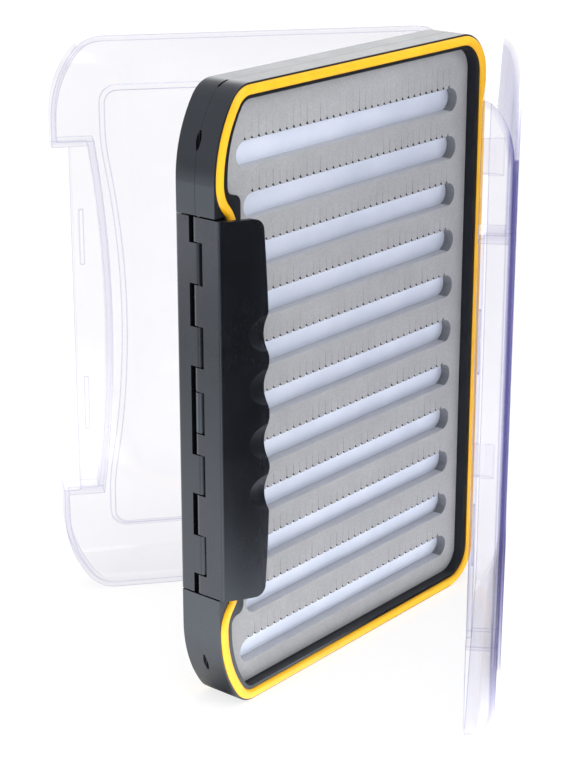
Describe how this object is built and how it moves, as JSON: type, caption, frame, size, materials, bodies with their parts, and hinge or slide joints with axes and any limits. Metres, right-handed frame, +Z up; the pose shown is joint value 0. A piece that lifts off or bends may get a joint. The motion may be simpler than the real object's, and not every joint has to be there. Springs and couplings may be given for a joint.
{
  "type": "fly box",
  "caption": "Slim two-sided fly box standing on its short end, with slotted foam on both faces, hinged clear lids and swinging side latches.",
  "frame": {"origin": "on the frame's foot, where the box stands, halfway between the two faces and 51.5 mm from the latch side", "axes": "+X from the latch side to the hinge side, -Y out of the front face, +Z up"},
  "size_m": [0.1108, 0.1457, 0.15],
  "materials": {
    "frame_plastic": "satin dark slate moulded plastic",
    "latch_plastic": "smooth dark grey moulded plastic",
    "foam": "fine closed-cell grey foam",
    "backing_sheet": "smooth pale bluish sheet",
    "seal_rubber": "yellow rubber cord",
    "clear_plastic": "polished clear plastic with faintly violet edges",
    "steel": "drawn steel pin"
  },
  "bodies": {
    "frame": {"front_frame_shell": "frame_plastic", "rear_frame_shell": "frame_plastic", "front_foam": "foam", "rear_foam": "foam", "front_foam_backing": "backing_sheet", "rear_foam_backing": "backing_sheet", "front_seal": "seal_rubber", "rear_seal": "seal_rubber", "latch_hinge_pin": "steel", "front_lid_lower_hinge_pin": "steel", "front_lid_upper_hinge_pin": "steel", "rear_lid_lower_hinge_pin": "steel", "rear_lid_upper_hinge_pin": "steel"},
    "front_lid": {"front_lid": "clear_plastic"},
    "rear_lid": {"rear_lid": "clear_plastic"},
    "front_latch": {"front_latch": "latch_plastic"},
    "rear_latch": {"rear_latch": "latch_plastic"}
  },
  "joints": [
    {"name": "front_lid_hinge", "type": "hinge", "parent": "frame", "child": "front_lid", "pos_m": [0.0529, -0.00285, 0.033], "axis": [0, 0, 1], "range_deg": [-32.6, 75.4]},
    {"name": "rear_lid_hinge", "type": "hinge", "parent": "frame", "child": "rear_lid", "pos_m": [0.0529, 0.00285, 0.033], "axis": [0, 0, -1], "range_deg": [-39.45, 68.55]},
    {"name": "front_latch_hinge", "type": "hinge", "parent": "frame", "child": "front_latch", "pos_m": [-0.05005, 0, 0.0757], "axis": [0, 0, -1], "range_deg": [0, 42]},
    {"name": "rear_latch_hinge", "type": "hinge", "parent": "frame", "child": "rear_latch", "pos_m": [-0.05005, 0, 0.0757], "axis": [0, 0, 1], "range_deg": [0, 42]}
  ]
}
